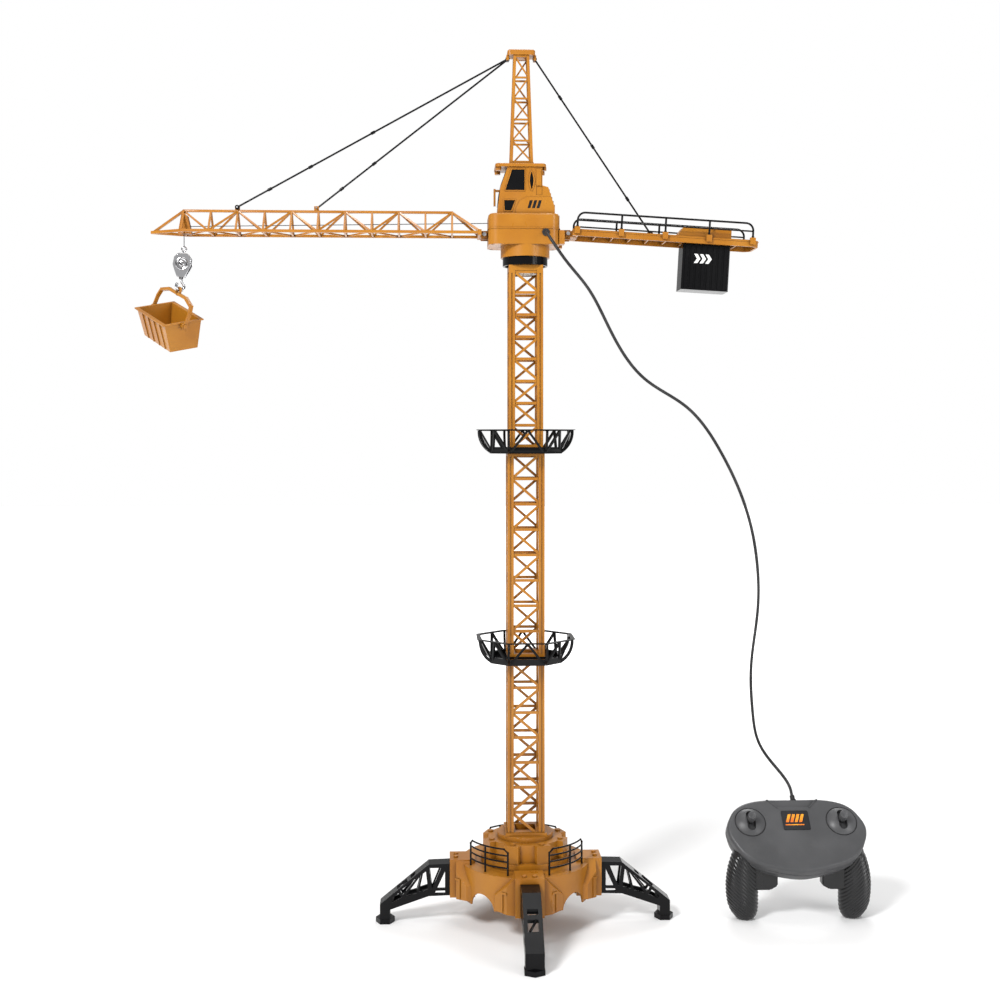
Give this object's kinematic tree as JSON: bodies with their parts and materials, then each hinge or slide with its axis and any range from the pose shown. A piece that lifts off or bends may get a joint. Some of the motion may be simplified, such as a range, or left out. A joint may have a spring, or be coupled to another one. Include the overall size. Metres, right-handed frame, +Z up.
{
  "type": "toy tower crane",
  "caption": "Wired toy tower crane: lattice mast on a four-legged base, slewing head with cab, lattice jib, hook block, tipping basket, counter-jib and hand controller.",
  "frame": {"origin": "on the floor, under the middle of the whole outline (the basket's and the controller's far ends are equally far); the mast axis stands 32 mm to +X of it", "axes": "+Z up along the mast; the jib points to -X and the counter-jib to +X; the cab door side and the controller's face look to -Y"},
  "size_m": [1.0884, 0.439, 1.2795],
  "materials": {
    "yellow": "satin moulded polystyrene, ochre yellow",
    "black_gloss": "glossy black moulded plastic",
    "nylon": "natural nylon",
    "steel": "zinc-plated steel",
    "chrome": "vacuum-chromed plastic",
    "dark_wheel": "dark plastic",
    "string": "twisted grey cord",
    "controller_grey": "fine leather-textured dark grey plastic",
    "label": "printed plate with plain diagonal bands",
    "board": "circuit board",
    "cable": "dark flexible PVC"
  },
  "bodies": {
    "tower": {"base_hub": "yellow", "centre_drum": "yellow", "legs": "black_gloss", "leg_studs": "yellow", "base_railings": "black_gloss", "tower_screws": "steel", "lower_mast": "yellow", "middle_mast": "yellow", "upper_mast": "yellow", "lower_platform": "black_gloss", "upper_platform": "black_gloss", "slew_collar": "black_gloss", "slew_post": "nylon", "slew_gear": "nylon", "post_clip": "steel", "controller_top": "controller_grey", "controller_bottom": "controller_grey", "controller_label": "label", "circuit_board": "board", "contact_switches": "board", "battery_cells": "steel", "battery_cover": "controller_grey", "controller_screws": "steel", "cable_sleeve": "cable", "control_cable": "cable"},
    "upperworks": {"lower_case": "yellow", "upper_cover": "yellow", "housing_screws": "steel", "cable_grommet": "cable", "gear_frame": "nylon", "gearboxes": "nylon", "motors": "steel", "winch_axle": "steel", "cab_shell": "yellow", "cab_windows": "black_gloss", "cab_roof": "yellow", "mast_peak": "yellow", "peak_cap": "yellow", "jib": "yellow", "hinge_pins": "steel", "jib_string": "string", "tie_rods": "black_gloss", "counter_jib": "yellow", "counter_railings": "black_gloss", "ballast_box": "yellow", "counterweight": "black_gloss", "hanging_string": "string"},
    "slew_drive": {"slew_pinion": "nylon"},
    "hoist_drive": {"hoist_pinion": "nylon"},
    "winch": {"winch_drum": "nylon", "wound_string": "string"},
    "tip_wheel": {"tip_pulley": "nylon"},
    "block": {"hook_block": "chrome", "block_bolt": "chrome"},
    "sheave": {"block_sheave": "dark_wheel"},
    "hook": {"hook": "chrome"},
    "handle": {"basket_handle": "yellow"},
    "basket": {"basket": "yellow"},
    "stick_left": {"left_stick": "controller_grey"},
    "stick_right": {"right_stick": "controller_grey"}
  },
  "joints": [
    {"name": "slew", "type": "hinge", "parent": "tower", "child": "upperworks", "pos_m": [0.032, 0, 0.98], "axis": [0, 0, 1], "range_deg": [-180, 180], "deforming": ["control_cable"]},
    {"name": "slew_pinion_spin", "type": "hinge", "parent": "upperworks", "child": "slew_drive", "pos_m": [0.056, 0, 0.98], "axis": [0, 0, 1], "range_deg": [-545, 545]},
    {"name": "hoist", "type": "slide", "parent": "upperworks", "child": "block", "axis": [0, 0, -1], "range_m": [-0.008, 0.62], "deforming": ["hanging_string"]},
    {"name": "winch_spin", "type": "hinge", "parent": "upperworks", "child": "winch", "pos_m": [0, 0, 1.017], "axis": [0, 1, 0], "range_deg": [-4270, 60]},
    {"name": "hoist_pinion_spin", "type": "hinge", "parent": "upperworks", "child": "hoist_drive", "pos_m": [0.0184, 0.012, 1.017], "axis": [0, 1, 0], "range_deg": [-160, 12100]},
    {"name": "tip_pulley_spin", "type": "hinge", "parent": "upperworks", "child": "tip_wheel", "pos_m": [-0.4614, 0, 1.013], "axis": [0, 1, 0], "range_deg": [-7120, 95]},
    {"name": "sheave_spin", "type": "hinge", "parent": "block", "child": "sheave", "pos_m": [-0.4687, 0, 0.96312], "axis": [0, 1, 0], "continuous": true},
    {"name": "hook_swivel", "type": "hinge", "parent": "block", "child": "hook", "pos_m": [-0.47058, 0, 0.94522], "axis": [0.1045, 0, 0.9945], "continuous": true},
    {"name": "handle_swing", "type": "hinge", "parent": "hook", "child": "handle", "pos_m": [-0.4721, 0, 0.9308], "axis": [-0.5417, 0.8387, 0.0569], "range_deg": [-45, 30]},
    {"name": "basket_tip", "type": "hinge", "parent": "handle", "child": "basket", "pos_m": [-0.48908, 0.00336, 0.88725], "axis": [-0.5446, 0.7776, 0.3142], "range_deg": [-40, 75]},
    {"name": "left_stick_rock", "type": "hinge", "parent": "tower", "child": "stick_left", "pos_m": [0.3675, 0.00707, 0.13214], "axis": [1, 0, 0], "range_deg": [-16, 16], "stiffness_Nm_per_rad": 0.05},
    {"name": "right_stick_rock", "type": "hinge", "parent": "tower", "child": "stick_right", "pos_m": [0.5045, 0.00707, 0.13214], "axis": [1, 0, 0], "range_deg": [-16, 16], "stiffness_Nm_per_rad": 0.05}
  ],
  "couplings": [
    {"joint": "slew_pinion_spin", "follows": "slew", "ratio": 3},
    {"joint": "winch_spin", "follows": "hoist", "rad_per_m": -120},
    {"joint": "hoist_pinion_spin", "follows": "hoist", "rad_per_m": 340},
    {"joint": "tip_pulley_spin", "follows": "hoist", "rad_per_m": -200}
  ]
}
